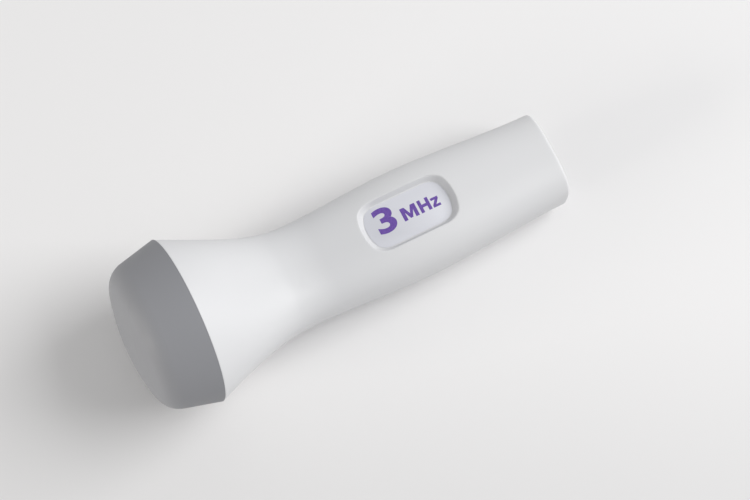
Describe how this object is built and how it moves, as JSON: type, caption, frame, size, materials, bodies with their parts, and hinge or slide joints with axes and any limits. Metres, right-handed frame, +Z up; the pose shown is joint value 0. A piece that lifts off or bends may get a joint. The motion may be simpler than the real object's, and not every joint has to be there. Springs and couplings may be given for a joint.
{
  "type": "foetal doppler probe",
  "caption": "Hand-held doppler probe: white clamshell handle with a label recess, flared to a round grey transducer cap, and a modular cord jack in its tail.",
  "frame": {"origin": "middle of the bounding box on the table that the probe lies on", "axes": "+X from the head towards the tail, +Z up out of the labelled face, +Y across the handle"},
  "size_m": [0.109, 0.04, 0.0396],
  "materials": {
    "white_abs": "satin moulded ABS",
    "grey_abs": "satin moulded ABS",
    "label_film": "satin printed film",
    "seal_rubber": "matt",
    "crystal_ceramic": "silvered",
    "cork": "matt",
    "backing_foam": "matt",
    "holder_plastic": "matt",
    "copper_foil": "bright",
    "board_laminate": "satin solder mask",
    "chip_black": "satin epoxy",
    "jack_black": "satin nylon",
    "can_metal": "satin",
    "can_steel": "satin",
    "header_cream": "satin nylon",
    "chip_ceramic": "matt",
    "contact_gold": "gold plated",
    "lead_red": "satin PVC",
    "lead_black": "satin PVC",
    "lead_white": "satin PVC",
    "lead_blue": "satin PVC",
    "screw_steel": "zinc plated"
  },
  "bodies": {
    "root": {"cap_seal_ring": "seal_rubber", "chip_capacitor_1": "chip_ceramic", "chip_capacitor_2": "chip_ceramic", "chip_capacitor_3": "chip_ceramic", "chip_resistor_1": "chip_black", "chip_resistor_2": "chip_black", "chip_resistor_3": "chip_black", "circuit_board": "board_laminate", "crystal_divider": "cork", "crystal_oscillator": "can_steel", "electrolytic_capacitor_1": "can_metal", "electrolytic_capacitor_2": "can_metal", "frequency_label": "label_film", "head_cap": "grey_abs", "housing_screw_front": "screw_steel", "housing_screw_rear": "screw_steel", "jack_contact_1": "contact_gold", "jack_contact_2": "contact_gold", "jack_contact_3": "contact_gold", "jack_contact_4": "contact_gold", "jack_contact_5": "contact_gold", "jack_contact_6": "contact_gold", "lead_header": "header_cream", "lower_housing": "white_abs", "modular_jack": "jack_black", "receive_amplifier": "chip_black", "receive_backing_pad": "backing_foam", "receive_crystal": "crystal_ceramic", "receive_lead_live": "lead_white", "receive_lead_return": "lead_blue", "shield_can": "can_steel", "shield_disc": "copper_foil", "transducer_holder": "holder_plastic", "transmit_amplifier": "chip_black", "transmit_backing_pad": "backing_foam", "transmit_crystal": "crystal_ceramic", "transmit_lead_live": "lead_red", "transmit_lead_return": "lead_black", "tuning_coil_1": "can_metal", "tuning_coil_2": "can_metal", "upper_housing": "white_abs"}
  },
  "joints": []
}
